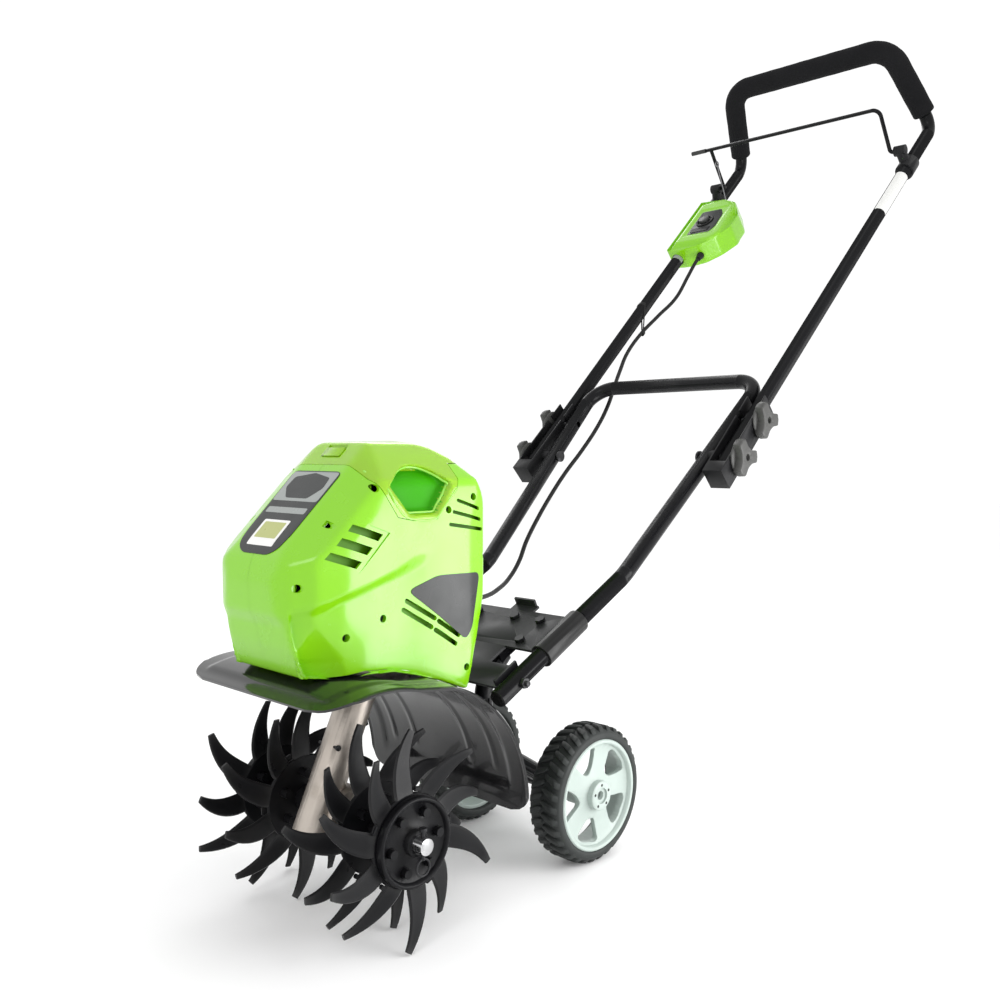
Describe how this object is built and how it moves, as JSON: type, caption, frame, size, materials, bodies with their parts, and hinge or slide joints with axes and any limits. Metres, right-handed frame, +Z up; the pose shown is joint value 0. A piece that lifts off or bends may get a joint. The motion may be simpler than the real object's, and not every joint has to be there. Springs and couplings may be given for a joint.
{
  "type": "garden tiller",
  "caption": "Battery garden tiller with worm-driven tine stars, a hinged battery lid, two support wheels, a fold-forward handle with clamp knobs and a spring-back bail lever",
  "frame": {"origin": "on the ground, straight below the middle of the tine shaft", "axes": "+X to the operator's left along the tine shaft, +Y backwards to the operator, +Z up"},
  "size_m": [0.3763, 1.1684, 1.1268],
  "materials": {
    "body_green": "glossy lime green injection moulding",
    "lid_clear": "tinted translucent green plastic",
    "black_paint": "gloss black powder coat",
    "tine_paint": "satin black paint on steel plate",
    "plate_grey": "dark grey powder coat",
    "plastic_grey": "dark grey moulded plastic",
    "plastic_black": "gloss black moulded plastic",
    "pack_black": "textured black plastic",
    "cast_case": "as-cast aluminium alloy",
    "steel": "turned steel",
    "fasteners": "blackened steel",
    "bronze": "bronze",
    "windings": "copper windings and steel core",
    "rim_plastic": "pale grey-green moulded plastic",
    "tyre_rubber": "black tyre compound",
    "foam": "matte black foam",
    "board": "coated circuit board",
    "label": "grey satin label plate",
    "cable": "black cable sheath"
  },
  "bodies": {
    "machine": {"housing_left": "body_green", "housing_right": "body_green", "housing_screws": "fasteners", "front_label": "label", "side_badges": "label", "lid_hinge_pin": "steel", "battery_pack": "pack_black", "battery_tray": "plastic_grey", "terminal_block": "pack_black", "controller": "board", "motor_can": "plastic_grey", "motor_end_plate": "steel", "drive_bearings": "steel", "gear_case_left": "cast_case", "gear_case_right": "cast_case", "gear_case_screws": "fasteners", "shaft_bushes": "bronze", "fender": "plastic_black", "chassis": "plate_grey", "cross_plate": "plate_grey", "plate_bolts": "fasteners", "leg_sleeves": "plastic_grey", "lower_handle": "black_paint", "wheel_frame": "black_paint", "wheel_axle": "steel", "left_bracket": "plastic_grey", "right_bracket": "plastic_grey", "fold_bolts": "fasteners", "cable_lower": "cable"},
    "tines": {"tine_shaft": "steel", "worm_wheel": "bronze", "left_hub": "tine_paint", "right_hub": "tine_paint", "left_outer_tine": "tine_paint", "left_inner_tine": "tine_paint", "right_inner_tine": "tine_paint", "right_outer_tine": "tine_paint", "cotter_pins": "steel"},
    "rotor": {"worm_shaft": "steel", "armature": "windings", "cooling_fan": "plastic_black"},
    "left_wheel": {"left_rim": "rim_plastic", "left_tyre": "tyre_rubber"},
    "right_wheel": {"right_rim": "rim_plastic", "right_tyre": "tyre_rubber"},
    "lid": {"battery_lid": "lid_clear"},
    "latch": {"lid_latch": "plastic_grey"},
    "release": {"battery_release": "body_green"},
    "upper": {"upper_handle": "black_paint", "foam_grip": "foam", "switch_box": "body_green", "bail_block": "plastic_black", "clamp_bolts": "fasteners", "cable_upper": "cable"},
    "upper_left_knob": {"knob_upper_left": "plastic_grey"},
    "lower_left_knob": {"knob_lower_left": "plastic_grey"},
    "upper_right_knob": {"knob_upper_right": "plastic_grey"},
    "lower_right_knob": {"knob_lower_right": "plastic_grey"},
    "bail": {"bail": "black_paint"},
    "button": {"start_button": "plastic_black"}
  },
  "joints": [
    {"name": "tine_drive", "type": "hinge", "parent": "machine", "child": "tines", "pos_m": [0, 0, 0.104], "axis": [1, 0, 0], "continuous": true},
    {"name": "rotor_spin", "type": "hinge", "parent": "machine", "child": "rotor", "pos_m": [0, -0.02434, 0.11509], "axis": [0, 0.4147, 0.91], "continuous": true},
    {"name": "left_wheel_spin", "type": "hinge", "parent": "machine", "child": "left_wheel", "pos_m": [0.1, 0.281, 0.0792], "axis": [1, 0, 0], "continuous": true},
    {"name": "right_wheel_spin", "type": "hinge", "parent": "machine", "child": "right_wheel", "pos_m": [-0.1, 0.281, 0.0792], "axis": [1, 0, 0], "continuous": true},
    {"name": "lid_hinge", "type": "hinge", "parent": "machine", "child": "lid", "pos_m": [0, 0.098, 0.463], "axis": [-1, 0, 0], "range_deg": [0, 60]},
    {"name": "latch_slide", "type": "slide", "parent": "lid", "child": "latch", "axis": [0, 1, 0], "range_m": [0, 0.003], "stiffness_N_per_m": 400, "springref_m": -0.002},
    {"name": "release_slide", "type": "slide", "parent": "machine", "child": "release", "axis": [0, 0.7071, 0.7071], "range_m": [0, 0.004], "stiffness_N_per_m": 400, "springref_m": -0.002},
    {"name": "handle_fold", "type": "hinge", "parent": "machine", "child": "upper", "pos_m": [0, 0.482, 0.46728], "axis": [1, 0, 0], "range_deg": [0, 120]},
    {"name": "upper_left_knob_turn", "type": "hinge", "parent": "upper", "child": "upper_left_knob", "pos_m": [0.178, 0.533, 0.51401], "axis": [1, 0, 0], "continuous": true},
    {"name": "upper_right_knob_turn", "type": "hinge", "parent": "upper", "child": "upper_right_knob", "pos_m": [-0.178, 0.533, 0.51401], "axis": [1, 0, 0], "continuous": true},
    {"name": "lower_left_knob_turn", "type": "hinge", "parent": "machine", "child": "lower_left_knob", "pos_m": [0.178, 0.482, 0.46728], "axis": [1, 0, 0], "continuous": true},
    {"name": "lower_right_knob_turn", "type": "hinge", "parent": "machine", "child": "lower_right_knob", "pos_m": [-0.178, 0.482, 0.46728], "axis": [1, 0, 0], "continuous": true},
    {"name": "bail_squeeze", "type": "hinge", "parent": "upper", "child": "bail", "pos_m": [0, 0.962, 0.943], "axis": [-1, 0, 0], "range_deg": [0, 65], "stiffness_Nm_per_rad": 0.6, "springref_deg": -28.65},
    {"name": "start_press", "type": "slide", "parent": "upper", "child": "button", "axis": [0, 0.6756, -0.7373], "range_m": [0, 0.003], "stiffness_N_per_m": 400, "springref_m": -0.002}
  ],
  "couplings": [
    {"joint": "rotor_spin", "follows": "tine_drive", "ratio": 24}
  ]
}
